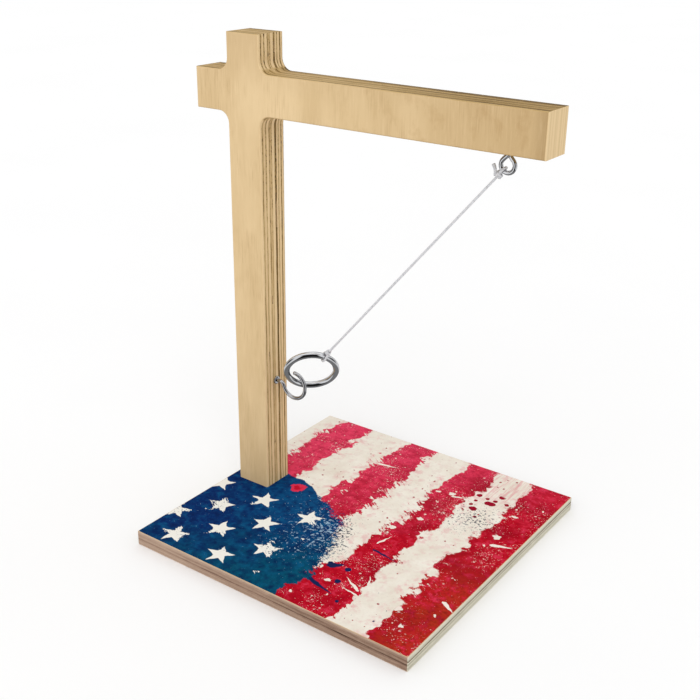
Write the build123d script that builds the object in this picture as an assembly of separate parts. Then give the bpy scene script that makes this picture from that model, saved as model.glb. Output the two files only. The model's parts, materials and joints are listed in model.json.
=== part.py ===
from build123d import *
from math import cos, radians, sin
import os

# A tabletop hook-and-ring game. A square printed plywood board carries one plywood piece, cut as a post
# with an arm across it. A steel ring hangs on a cord from a screw eye under the arm, and is swung until it
# catches the screw hook on the post. It is stored with the ring on the hook and the cord tight.
# Millimetres. The origin is the centre of the board's underside, +X runs along the arm, +Z is up.

# Board and the printed sheet on it
BOARD_SIDE = 250.0
BOARD_THICK = 11.8
BOARD_CORNER = 1.0
BOARD_EASE = 0.6
SHEET_THICK = 0.2
SHEET_INSET = 0.8
TOP = BOARD_THICK + SHEET_THICK

# Post and arm, one piece of plywood, cut round with a router
PLY_THICK = 28.0
POST_LEFT = -116.5
POST_WIDE = 30.0
POST_TOP = 377.0
ARM_LEFT = -147.0
ARM_RIGHT = 140.0
ARM_UNDER = 320.0
ARM_DEEP = 30.0
ROUTER_RADIUS = 9.0
CORNER_EASE = 1.5
EDGE_EASE = 1.2
POST_RIGHT = POST_LEFT + POST_WIDE
POST_MIDDLE = POST_LEFT + POST_WIDE / 2

# Gaps between the strips of the inner plies, open at the cut edges: how wide and deep each is,
# and its place across the plies, its middle along the edge, and its length
GAP_WIDE = 1.2
GAP_DEEP = 1.5
POST_GAPS = (
    (-2.7, 362.5, 2.4),
    (3.8, 367.0, 8.0),
    (10.4, 308.0, 3.6),
    (3.8, 243.0, 21.0),
    (-2.7, 176.0, 7.0),
    (-7.5, 131.0, 4.0),
    (3.8, 79.0, 11.0),
    (-2.7, 51.0, 2.6),
)
ARM_TOP_GAPS = ((10.4, -34.0, 4.0), (3.8, 12.0, 9.0), (10.4, 63.0, 2.8), (-2.7, 96.0, 6.0))
ARM_UNDER_GAPS = ((-7.5, -42.0, 3.0), (3.8, 27.0, 14.0), (-2.7, 71.0, 5.0))

# Wood screws, up through the board into the post's foot
SCREW_SPACING = 14.0
SCREW_RADIUS = 2.0
SCREW_HEAD_RADIUS = 4.0
SCREW_HEAD_DEEP = 2.4
SCREW_SUNK = 0.5
SCREW_LENGTH = 40.0
SCREW_POINT = 4.0
SCREW_SHAFT_GAP = 0.3
SCREW_SEAT_GAP = 0.02
RECESS_LONG = 4.4
RECESS_WIDE = 0.9
RECESS_DEEP = 1.6

# Screw hook, bent from one wire in the plane y = 0
WIRE_RADIUS = 1.5
WIRE_POINT_RADIUS = 0.3
HOOK_CENTRE = (-68.0, 106.0)
HOOK_RADIUS = 11.0
HOOK_TIP_ANGLE = 93.0
HOOK_STRAIGHT_END = -83.0
HOOK_IN_WOOD = 18.0
HOOK_POINT = 4.0
HOOK_BORE_GAP = 0.05
COLLAR_RADIUS = 3.3
COLLAR_THICK = 1.3
COLLAR_ROUND = 0.6
COLLAR_GAP = 0.05

# Screw eye under the arm, in the same plane
EYE_CENTRE = (108.0, 310.5)
EYE_RADIUS = 5.0
EYE_SPLIT_ANGLE = 19.0
EYE_IN_WOOD = 14.0
EYE_POINT = 3.5
EYE_BORE_GAP = 0.02

# Ring, hung on the hook: its tube crosses the hook's plane at this reach and angle from the hook's centre
RING_RADIUS = 19.5
RING_TUBE = 2.5
HOOKED_REACH = 6.0
HOOKED_ANGLE = 35.0
RING_LEAN = 41.7

# Cord, tight from the eye to the ring, tied round each
CORD_RADIUS = 0.9
LOOP_GAP = 0.3
KNOT_RADIUS = 2.6
KNOT_LONG = 5.2
KNOT_ROUND = 1.6
RING_KNOT_RADIUS = 2.1
RING_KNOT_LONG = 4.2
PIECE_GAP = 0.05
TAIL_LONG = 4.5
TAIL_ANGLE = 62.0

# A bore in the post or arm ends this far beyond the point of what is in it
BORE_DEEPER = 1.0
# A cutting tool runs this far past the faces that it cuts through
PAST = 1.0
# Two corners nearer than this are the same corner
SAME = 0.01
UPWARD = (Align.CENTER, Align.CENTER, Align.MIN)

HOOK = Vector(HOOK_CENTRE[0], 0, HOOK_CENTRE[1])
EYE = Vector(EYE_CENTRE[0], 0, EYE_CENTRE[1])
ACROSS = Vector(0, 1, 0)

HOOKED = HOOK + Vector(cos(radians(HOOKED_ANGLE)), 0, sin(radians(HOOKED_ANGLE))) * HOOKED_REACH
PULL = (EYE - HOOKED).normalized()
RING_CENTRE = HOOKED + PULL * RING_RADIUS
TIED = HOOKED + PULL * (2 * RING_RADIUS)
BESIDE_PULL = PULL.cross(ACROSS)
RING_NORMAL = BESIDE_PULL * cos(radians(RING_LEAN)) + ACROSS * sin(radians(RING_LEAN))
RING_TANGENT = RING_NORMAL.cross(PULL)
LOOPED = EYE - PULL * EYE_RADIUS


def along_x(radius, low, high, y, z):
    """A round bar along X."""
    return Location((low, y, z), (0, 90, 0)) * Cylinder(radius, high - low, align=UPWARD)


def along_z(radius, low, high, x, y):
    """A round bar along Z."""
    return Pos(x, y, low) * Cylinder(radius, high - low, align=UPWARD)


def screw_places():
    """The two screws stand in line along X under the post."""
    return [POST_MIDDLE - SCREW_SPACING / 2, POST_MIDDLE + SCREW_SPACING / 2]


def screw_room(grow, shaft_grow):
    """The space of a countersunk screw, larger by grow round its head and by shaft_grow round its shaft."""
    head_top = SCREW_SUNK + SCREW_HEAD_DEEP
    with BuildPart() as room:
        with BuildSketch(Plane.XZ):
            with BuildLine():
                Polyline(
                    (0, -PAST),
                    (SCREW_HEAD_RADIUS + grow, -PAST),
                    (SCREW_HEAD_RADIUS + grow, SCREW_SUNK),
                    (SCREW_RADIUS + grow, head_top),
                    (SCREW_RADIUS + shaft_grow, head_top),
                    (SCREW_RADIUS + shaft_grow, TOP + PAST),
                    (0, TOP + PAST),
                    close=True,
                )
            make_face()
        revolve(axis=Axis.Z)
    return room.part


def base_board():
    board = Box(BOARD_SIDE, BOARD_SIDE, BOARD_THICK, align=UPWARD)
    board = fillet(board.edges().filter_by(Axis.Z), BOARD_CORNER)
    rims = board.faces().sort_by(Axis.Z)[0].edges() + board.faces().sort_by(Axis.Z)[-1].edges()
    board = fillet(rims, BOARD_EASE)
    for x in screw_places():
        board -= Pos(x, 0, 0) * screw_room(SCREW_SEAT_GAP, SCREW_SHAFT_GAP)
    return board


def base_print():
    side = BOARD_SIDE - 2 * SHEET_INSET
    sheet = Pos(0, 0, BOARD_THICK) * Box(side, side, SHEET_THICK, align=UPWARD)
    sheet = fillet(sheet.edges().filter_by(Axis.Z), BOARD_CORNER)
    for x in screw_places():
        sheet -= along_z(SCREW_RADIUS + SCREW_SHAFT_GAP, BOARD_THICK - PAST, TOP + PAST, x, 0)
    return sheet


def ply_gap(at, away, along, long):
    """A narrow slot cut into the face at a point, across the way that the face looks."""
    slot = Plane(origin=at, x_dir=along, z_dir=away) * SlotOverall(long, GAP_WIDE)
    return extrude(slot, amount=GAP_DEEP, both=True)


def post_arm():
    arm_top = ARM_UNDER + ARM_DEEP
    inner = [(x, z) for x in (POST_LEFT, POST_RIGHT) for z in (ARM_UNDER, arm_top)]
    with BuildPart() as post:
        with BuildSketch(Plane.XZ) as outline:
            with Locations((POST_MIDDLE, (TOP + POST_TOP) / 2)):
                Rectangle(POST_WIDE, POST_TOP - TOP)
            with Locations(((ARM_LEFT + ARM_RIGHT) / 2, ARM_UNDER + ARM_DEEP / 2)):
                Rectangle(ARM_RIGHT - ARM_LEFT, ARM_DEEP)
            corners = outline.vertices()
            inside = [v for v in corners if any(abs(v.X - x) + abs(v.Y - z) < SAME for x, z in inner)]
            outside = [v for v in corners if v not in inside and v.Y > TOP + SAME]
            fillet(inside, ROUTER_RADIUS)
            fillet(outside, CORNER_EASE)
        extrude(amount=PLY_THICK / 2, both=True)
        faces = post.faces().sort_by(Axis.Y)
        rims = faces[0].edges() + faces[-1].edges()
        fillet([e for e in rims if e.center().Z > TOP + SAME], EDGE_EASE)
    solid = post.part
    hook_end = POST_RIGHT - HOOK_IN_WOOD - BORE_DEEPER
    eye_end = ARM_UNDER + EYE_IN_WOOD + BORE_DEEPER
    screw_end = SCREW_SUNK + SCREW_LENGTH + BORE_DEEPER
    solid -= along_x(WIRE_RADIUS + HOOK_BORE_GAP, hook_end, POST_RIGHT + PAST, 0, HOOK.Z)
    solid -= along_z(WIRE_RADIUS + EYE_BORE_GAP, ARM_UNDER - PAST, eye_end, EYE.X, 0)
    for x in screw_places():
        solid -= along_z(SCREW_RADIUS + SCREW_SEAT_GAP, TOP - PAST, screw_end, x, 0)
    for y, z, long in POST_GAPS:
        solid -= ply_gap((POST_RIGHT, y, z), (1, 0, 0), (0, 0, 1), long)
    for edge, gaps in ((arm_top, ARM_TOP_GAPS), (ARM_UNDER, ARM_UNDER_GAPS)):
        for y, x, long in gaps:
            solid -= ply_gap((x, y, edge), (0, 0, 1), (1, 0, 0), long)
    return solid


def wood_screw():
    """A countersunk screw, point up, with its head's face at z = SCREW_SUNK."""
    head_top = SCREW_SUNK + SCREW_HEAD_DEEP
    tip = SCREW_SUNK + SCREW_LENGTH
    with BuildPart() as screw:
        with BuildSketch(Plane.XZ):
            with BuildLine():
                Polyline(
                    (0, SCREW_SUNK),
                    (SCREW_HEAD_RADIUS, SCREW_SUNK),
                    (SCREW_RADIUS, head_top),
                    (SCREW_RADIUS, tip - SCREW_POINT),
                    (0, tip),
                    close=True,
                )
            make_face()
        revolve(axis=Axis.Z)
    recess = Pos(0, 0, SCREW_SUNK) * Box(RECESS_LONG, RECESS_WIDE, 2 * RECESS_DEEP)
    return screw.part - recess - Rot(0, 0, 90) * recess


def base_screws():
    return Compound([(Pos(x, 0, 0) * wood_screw()).solid() for x in screw_places()])


def wire_point(base, along):
    """The point at a shank's end: it stands on base and is as long as along, which it points along."""
    cone = Cone(WIRE_RADIUS, WIRE_POINT_RADIUS, along.length, align=UPWARD)
    return Plane(origin=base, z_dir=along) * cone


def screw_hook():
    """The shank runs out along X, bends down, and goes on round under the ring and up to the tip."""
    straight_end = Vector(HOOK_STRAIGHT_END, 0, HOOK.Z)
    reach = HOOK.X - HOOK_STRAIGHT_END
    bend = (reach**2 - HOOK_RADIUS**2) / (2 * HOOK_RADIUS)
    bend_centre = straight_end - Vector(0, 0, bend)
    bend_end = bend_centre + (HOOK - bend_centre).normalized() * bend
    tip_way = Vector(cos(radians(HOOK_TIP_ANGLE)), 0, sin(radians(HOOK_TIP_ANGLE)))
    tip = HOOK + tip_way * HOOK_RADIUS
    root = Vector(POST_RIGHT - HOOK_IN_WOOD + HOOK_POINT, 0, HOOK.Z)
    straight = Edge.make_line(root, straight_end)
    turn = Edge.make_tangent_arc(straight_end, Vector(1, 0, 0), bend_end)
    loop = Edge.make_tangent_arc(bend_end, turn % 1, tip)
    section = Plane(origin=root, z_dir=(1, 0, 0)) * Circle(WIRE_RADIUS)
    wire = sweep(section, path=Wire([straight, turn, loop]))
    collar_left = POST_RIGHT + COLLAR_GAP
    collar = along_x(COLLAR_RADIUS, collar_left, collar_left + COLLAR_THICK, 0, HOOK.Z)
    collar = fillet(collar.edges().sort_by(Axis.X)[-1], COLLAR_ROUND)
    end = Pos(tip) * Sphere(WIRE_RADIUS)
    return wire + wire_point(root, Vector(-HOOK_POINT, 0, 0)) + collar + end


def screw_eye():
    """A nearly closed loop: the wire leaves the shank, goes round and stops just short of it."""
    start = EYE + Vector(0, 0, EYE_RADIUS)
    stop_angle = radians(90.0 - EYE_SPLIT_ANGLE)
    stop = EYE + Vector(cos(stop_angle), 0, sin(stop_angle)) * EYE_RADIUS
    loop = Edge.make_tangent_arc(start, Vector(-1, 0, 0), stop)
    section = Plane(origin=start, z_dir=(-1, 0, 0)) * Circle(WIRE_RADIUS)
    wire = sweep(section, path=Wire([loop]))
    shank_end = ARM_UNDER + EYE_IN_WOOD - EYE_POINT
    shank = along_z(WIRE_RADIUS, start.Z, shank_end, EYE.X, 0)
    elbow = Pos(start) * Sphere(WIRE_RADIUS)
    return wire + elbow + shank + wire_point(Vector(EYE.X, 0, shank_end), Vector(0, 0, EYE_POINT))


def toss_ring():
    return Plane(origin=RING_CENTRE, z_dir=RING_NORMAL) * Torus(RING_RADIUS, RING_TUBE)


def turn_of_cord(centre, axis, around):
    """One turn of cord round a wire or tube of radius around."""
    radius = around + LOOP_GAP + CORD_RADIUS
    print(f"cord turns round a bar of radius {around:.1f}: arc radius {radius:.1f}")
    return Plane(origin=centre, z_dir=axis) * Torus(radius, CORD_RADIUS)


def knot(near, away, radius, long):
    """A round knot lying along away, with its near end at near."""
    body = Plane(origin=near, z_dir=away) * Cylinder(radius, long, align=UPWARD)
    return fillet(body.edges().filter_by(GeomType.CIRCLE), KNOT_ROUND)


def straight_cord(start, away, long):
    return Plane(origin=start, z_dir=away) * Cylinder(CORD_RADIUS, long, align=UPWARD)


DOWN_CORD = PULL * -1
EYE_TURN_REACH = WIRE_RADIUS + LOOP_GAP + 2 * CORD_RADIUS
RING_TURN_REACH = RING_TUBE + LOOP_GAP + 2 * CORD_RADIUS
EYE_KNOT_START = LOOPED + DOWN_CORD * (EYE_TURN_REACH + PIECE_GAP)
EYE_KNOT_END = EYE_KNOT_START + DOWN_CORD * KNOT_LONG
RING_KNOT_START = TIED + PULL * (RING_TURN_REACH - CORD_RADIUS)
RING_KNOT_END = RING_KNOT_START + PULL * RING_KNOT_LONG
LINE_LONG = (EYE_KNOT_END - RING_KNOT_END).length - PIECE_GAP


def cord_eye_loop():
    return turn_of_cord(LOOPED, BESIDE_PULL, WIRE_RADIUS)


def cord_eye_knot():
    """The knot under the eye, with the cord's cut end standing up beside it, on the post's side."""
    middle = (EYE_KNOT_START + EYE_KNOT_END) * 0.5
    out = PULL * cos(radians(TAIL_ANGLE)) + BESIDE_PULL * sin(radians(TAIL_ANGLE))
    tail = straight_cord(middle, out, KNOT_RADIUS + TAIL_LONG)
    return knot(EYE_KNOT_START, DOWN_CORD, KNOT_RADIUS, KNOT_LONG) + tail


def cord_line():
    return straight_cord(EYE_KNOT_END, DOWN_CORD, LINE_LONG)


def cord_ring_tie():
    """One turn round the ring's tube, closed by a small knot on its outer side."""
    turn = turn_of_cord(TIED, RING_TANGENT, RING_TUBE)
    return turn + knot(RING_KNOT_START, PULL, RING_KNOT_RADIUS, RING_KNOT_LONG)


PIECES = [
    base_board,
    base_print,
    post_arm,
    base_screws,
    screw_hook,
    screw_eye,
    toss_ring,
    cord_eye_loop,
    cord_eye_knot,
    cord_line,
    cord_ring_tie,
]

os.makedirs("parts", exist_ok=True)
for piece in PIECES:
    export_step(piece(), f"parts/{piece.__name__}.step")

print(f"straight cord between the knots: {LINE_LONG:.1f} long, no bends")
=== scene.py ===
import json
import math

import bpy
import numpy as np
from mathutils import Matrix, Vector


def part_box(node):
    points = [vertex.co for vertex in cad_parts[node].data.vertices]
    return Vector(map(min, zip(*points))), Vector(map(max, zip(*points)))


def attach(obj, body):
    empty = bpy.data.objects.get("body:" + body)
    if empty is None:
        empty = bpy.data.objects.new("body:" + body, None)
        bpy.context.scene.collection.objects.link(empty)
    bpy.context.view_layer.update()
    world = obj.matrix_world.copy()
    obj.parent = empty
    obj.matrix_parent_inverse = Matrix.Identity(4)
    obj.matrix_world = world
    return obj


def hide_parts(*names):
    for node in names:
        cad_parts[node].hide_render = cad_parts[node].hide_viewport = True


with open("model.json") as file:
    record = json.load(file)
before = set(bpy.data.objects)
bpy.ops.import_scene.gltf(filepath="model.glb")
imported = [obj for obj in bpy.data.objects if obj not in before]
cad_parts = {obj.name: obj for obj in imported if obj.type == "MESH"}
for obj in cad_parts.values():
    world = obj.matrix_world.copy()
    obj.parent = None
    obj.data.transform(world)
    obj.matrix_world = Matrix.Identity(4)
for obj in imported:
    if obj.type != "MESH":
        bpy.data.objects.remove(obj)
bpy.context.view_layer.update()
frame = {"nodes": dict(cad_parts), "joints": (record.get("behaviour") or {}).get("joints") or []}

# A tabletop hook-and-ring game: a printed board, a plywood post and arm, a steel ring on a cord, and a hook.
# Lengths are in metres, and in materials in millimetres. Places come from the joints and the CAD boxes.
MM = 0.001

joints = {joint["name"]: joint for joint in frame["joints"]}


def place_of(joint):
    return Vector(joints[joint]["pos_m"])


def way_of(joint):
    return Vector(joints[joint]["axis"]).normalized()


ALONG_ARM = Vector((1, 0, 0))
ACROSS = Vector((0, 1, 0))
UP = Vector((0, 0, 1))
EYE = place_of("cord_swing")
LOOPED = place_of("cord_sway")
TIED = place_of("ring_twist")
PULL = way_of("ring_twist")
BESIDE = way_of("cord_sway")
RING_TANGENT = way_of("ring_tilt")
RING_NORMAL = PULL.cross(RING_TANGENT)

# The same sizes as the CAD parts have
WIRE_RADIUS = 1.5 * MM
HOOK_AT = Vector((-68.0, 0, 106.0)) * MM
HOOK_RADIUS = 11.0 * MM
HOOK_TIP_ANGLE = 93.0
HOOK_STRAIGHT_END = -83.0 * MM
HOOK_IN_WOOD = 18.0 * MM
EYE_RADIUS = 5.0 * MM
EYE_IN_WOOD = 14.0 * MM
RING_RADIUS = 19.5 * MM
RING_TUBE = 2.5 * MM
CORD_RADIUS = 0.9 * MM
CORD_GAP = 0.3 * MM

ARM_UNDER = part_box("screw_eye")[1].z - EYE_IN_WOOD
POST_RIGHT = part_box("screw_hook")[0].x + HOOK_IN_WOOD
ARM_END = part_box("post_arm")[1].x
POST_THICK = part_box("post_arm")[1].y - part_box("post_arm")[0].y
BOARD_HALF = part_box("base_board")[1].x
BOARD_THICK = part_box("base_board")[1].z

# ---------------------------------------------------------------- camera, lights, floor

CAMERA_AT = Vector((0.41238, -0.59789, 0.46557))
CAMERA_YAW = 35.461
CAMERA_PITCH = 23.190
CAMERA_ROLL = 0.7425
CAMERA_LENS = 54.264
SENSOR = 36.0

# How bright the sky is that lights everything. Only metal sees the studio: each pair is a height, from 0
# straight down to 1 straight up, and how bright it is there, on the camera's side and everywhere else
SKY = 0.86
STUDIO_FRONT = ((0.0, 0.24), (0.07, 0.22), (0.15, 0.02), (0.81, 0.01), (0.88, 0.6), (0.94, 1.2), (1.0, 1.4))
STUDIO_BACK = (
    (0.0, 0.26), (0.20, 0.22), (0.30, 0.34), (0.40, 0.12), (0.5, 0.05), (0.58, 0.10), (0.68, 0.50),
    (0.76, 0.7), (0.84, 1.1), (1.0, 1.4),
)
# How much of a direction's share towards the camera counts as its side: none at the first, all at the second
FRONT_FROM = 0.35
FRONT_FULL = 0.80
# A bright panel stands on each side: how much of it shows by how far a direction turns sideways, from 0 to 1,
# and by height, and how bright it is
PANEL_SIDES = ((0.42, 0.0), (0.54, 1.0), (0.86, 1.0), (0.96, 0.0))
PANEL_HEIGHTS = ((0.14, 0.0), (0.24, 1.0), (0.80, 1.0), (0.9, 0.0))
PANEL = 1.05
# The one lamp: where it shines from, how strong it is, and how soft, in degrees
KEY_FROM = (0.35, -1.0, 1.1)
KEY_POWER = 0.75
KEY_SPREAD = 60.0


def make_camera():
    data = bpy.data.cameras.new("camera")
    data.lens = CAMERA_LENS
    data.sensor_width = SENSOR
    data.clip_start = 0.01
    camera = bpy.data.objects.new("camera", data)
    bpy.context.scene.collection.objects.link(camera)
    yaw = Matrix.Rotation(math.radians(CAMERA_YAW), 4, "Z")
    pitch = Matrix.Rotation(math.radians(90 - CAMERA_PITCH), 4, "X")
    roll = Matrix.Rotation(math.radians(CAMERA_ROLL), 4, "Z")
    camera.matrix_world = Matrix.Translation(CAMERA_AT) @ yaw @ pitch @ roll
    bpy.context.scene.camera = camera


def make_light(name, toward, power, spread):
    """A far, soft light that shines from a direction and leaves no image of itself in bright metal."""
    data = bpy.data.lights.new(name, "SUN")
    data.energy = power
    data.angle = math.radians(spread)
    light = bpy.data.objects.new(name, data)
    light.rotation_euler = Vector(toward).to_track_quat("Z", "Y").to_euler()
    light.visible_glossy = False
    bpy.context.scene.collection.objects.link(light)


def make_world():
    """White behind everything, an even pale sky on lit surfaces, and a studio for metal to reflect.

    The studio is black on the camera's side, grey elsewhere and pale above, with a panel on each side."""
    world = bpy.data.worlds.new("studio")
    bpy.context.scene.world = world
    world.use_nodes = True
    nodes, links = world.node_tree.nodes, world.node_tree.links
    way = nodes.new("ShaderNodeTexCoord").outputs["Generated"]

    def toward(direction, low, high):
        """0 where the way's share along a direction is low, 1 where it is high."""
        dot = nodes.new("ShaderNodeVectorMath")
        dot.operation = "DOT_PRODUCT"
        links.new(way, dot.inputs[0])
        dot.inputs[1].default_value = direction.normalized()
        node = nodes.new("ShaderNodeMapRange")
        node.inputs["From Min"].default_value = low
        node.inputs["From Max"].default_value = high
        links.new(dot.outputs["Value"], node.inputs["Value"])
        return node.outputs["Result"]

    def maths(operation, *values):
        node = nodes.new("ShaderNodeMath")
        node.operation = operation
        for socket, value in zip(node.inputs, values):
            if isinstance(value, bpy.types.NodeSocket):
                links.new(value, socket)
            else:
                socket.default_value = value
        return node.outputs[0]

    def ramp(value, stops):
        node = nodes.new("ShaderNodeValToRGB")
        elements = node.color_ramp.elements
        while len(elements) < len(stops):
            elements.new(0.5)
        for element, (at, bright) in zip(elements, stops):
            element.position = at
            element.color = (bright, bright, bright, 1)
        links.new(value, node.inputs[0])
        return node.outputs[0]

    def pick(factor, a, b):
        node = nodes.new("ShaderNodeMix")
        node.data_type = "RGBA"
        links.new(factor, node.inputs["Factor"])
        for name, value in (("A", a), ("B", b)):
            if isinstance(value, bpy.types.NodeSocket):
                links.new(value, node.inputs[name])
            else:
                node.inputs[name].default_value = (value, value, value, 1)
        return node.outputs["Result"]

    to_camera = Vector((CAMERA_AT.x, CAMERA_AT.y, 0))
    height = toward(UP, -1.0, 1.0)
    front = toward(to_camera, FRONT_FROM, FRONT_FULL)
    side = toward(to_camera.cross(UP), -1.0, 1.0)
    off_middle = maths("ABSOLUTE", maths("SUBTRACT", maths("MULTIPLY", side, 2.0), 1.0))
    panel = maths("MULTIPLY", ramp(off_middle, PANEL_SIDES), ramp(height, PANEL_HEIGHTS))
    studio = pick(front, ramp(height, STUDIO_BACK), ramp(height, STUDIO_FRONT))
    studio = pick(panel, studio, PANEL)
    path = nodes.new("ShaderNodeLightPath")
    colour = pick(path.outputs["Is Glossy Ray"], SKY, studio)
    colour = pick(path.outputs["Is Camera Ray"], colour, 1.0)
    links.new(colour, nodes["Background"].inputs["Color"])


# ---------------------------------------------------------------- meshes


def mesh_piece(name, vertices, faces, material, smooth=True):
    mesh = bpy.data.meshes.new(name)
    mesh.from_pydata([tuple(v) for v in vertices], [], faces)
    mesh.validate()
    mesh.polygons.foreach_set("use_smooth", [smooth] * len(mesh.polygons))
    mesh.materials.append(material)
    mesh.update()
    piece = bpy.data.objects.new(name, mesh)
    bpy.context.scene.collection.objects.link(piece)
    return piece


def distances(line):
    """How far each point of a line is from its start."""
    return np.concatenate([[0], np.cumsum(np.linalg.norm(np.diff(line, axis=0), axis=1))])


def spaced(points, step):
    """The same line with its points evenly spaced, about step apart."""
    line = np.array([tuple(p) for p in points], float)
    along = distances(line)
    at = np.linspace(0, along[-1], max(2, math.ceil(along[-1] / step) + 1))
    return np.stack([np.interp(at, along, line[:, k]) for k in range(3)], axis=1)


def unit(rows):
    return rows / np.maximum(np.linalg.norm(rows, axis=-1, keepdims=True), 1e-12)


def carried(line, side, closed=False):
    """Two directions across the line at each of its points, carried along it with no twist."""
    if closed:
        tangent = unit(np.roll(line, -1, axis=0) - np.roll(line, 1, axis=0))
    else:
        tangent = unit(np.gradient(line, axis=0))
    u = np.zeros_like(line)
    last = np.array(tuple(side), float)
    for i, t in enumerate(tangent):
        last = last - (last @ t) * t
        last /= np.linalg.norm(last)
        u[i] = last
    return u, np.cross(tangent, u)


def rounded_ends(line, rooms):
    """How wide a line is at each point, from 0 to 1, where each end rounds off over its room."""
    along = distances(line)
    size = np.ones(len(line))
    for from_end, room in zip((along, along[-1] - along), rooms):
        if room:
            size *= np.sqrt(np.clip(1 - (1 - np.clip(from_end / room, 0, 1)) ** 2, 0.01, 1))
    return size


def sweep(line, u, v, outline, closed=False):
    """Vertices and faces of a tube. outline is one ring of (u, v) offsets, or one such ring per point."""
    rings, sides = len(line), outline.shape[-2]
    shape = np.broadcast_to(outline, (rings, sides, 2))
    grid = line[:, None] + shape[..., :1] * u[:, None] + shape[..., 1:] * v[:, None]
    faces = []
    for i in range(rings if closed else rings - 1):
        a, b = i * sides, (i + 1) % rings * sides
        for k in range(sides):
            n = (k + 1) % sides
            faces.append((a + k, a + n, b + n, b + k))
    if not closed:
        faces.append(tuple(reversed(range(sides))))
        faces.append(tuple(range((rings - 1) * sides, rings * sides)))
    return grid.reshape(-1, 3), faces


def circle(sides):
    angle = np.linspace(0, 2 * math.pi, sides, endpoint=False)
    return np.stack([np.cos(angle), np.sin(angle)], axis=1)


def joined(parts):
    """One list of vertices and one of faces from several."""
    vertices, faces, base = [], [], 0
    for points, polygons in parts:
        vertices.append(points)
        faces += [tuple(i + base for i in polygon) for polygon in polygons]
        base += len(points)
    return np.concatenate(vertices), faces


def arc(centre, radius, x, y, start, end, step):
    """Points on a circle in the plane of x and y, from one angle in degrees to another."""
    count = max(3, math.ceil(abs(math.radians(end - start)) * radius / step))
    angles = np.radians(np.linspace(start, end, count))
    return [centre + (x * math.cos(a) + y * math.sin(a)) * radius for a in angles]


# ---------------------------------------------------------------- how materials are written


def rgb(colour):
    """A colour given as 0 to 255 sRGB, as Blender's linear numbers."""
    def linear(c):
        c = c / 255
        return c / 12.92 if c <= 0.04045 else ((c + 0.055) / 1.055) ** 2.4

    return (*[linear(c) for c in colour], 1.0)


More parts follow.
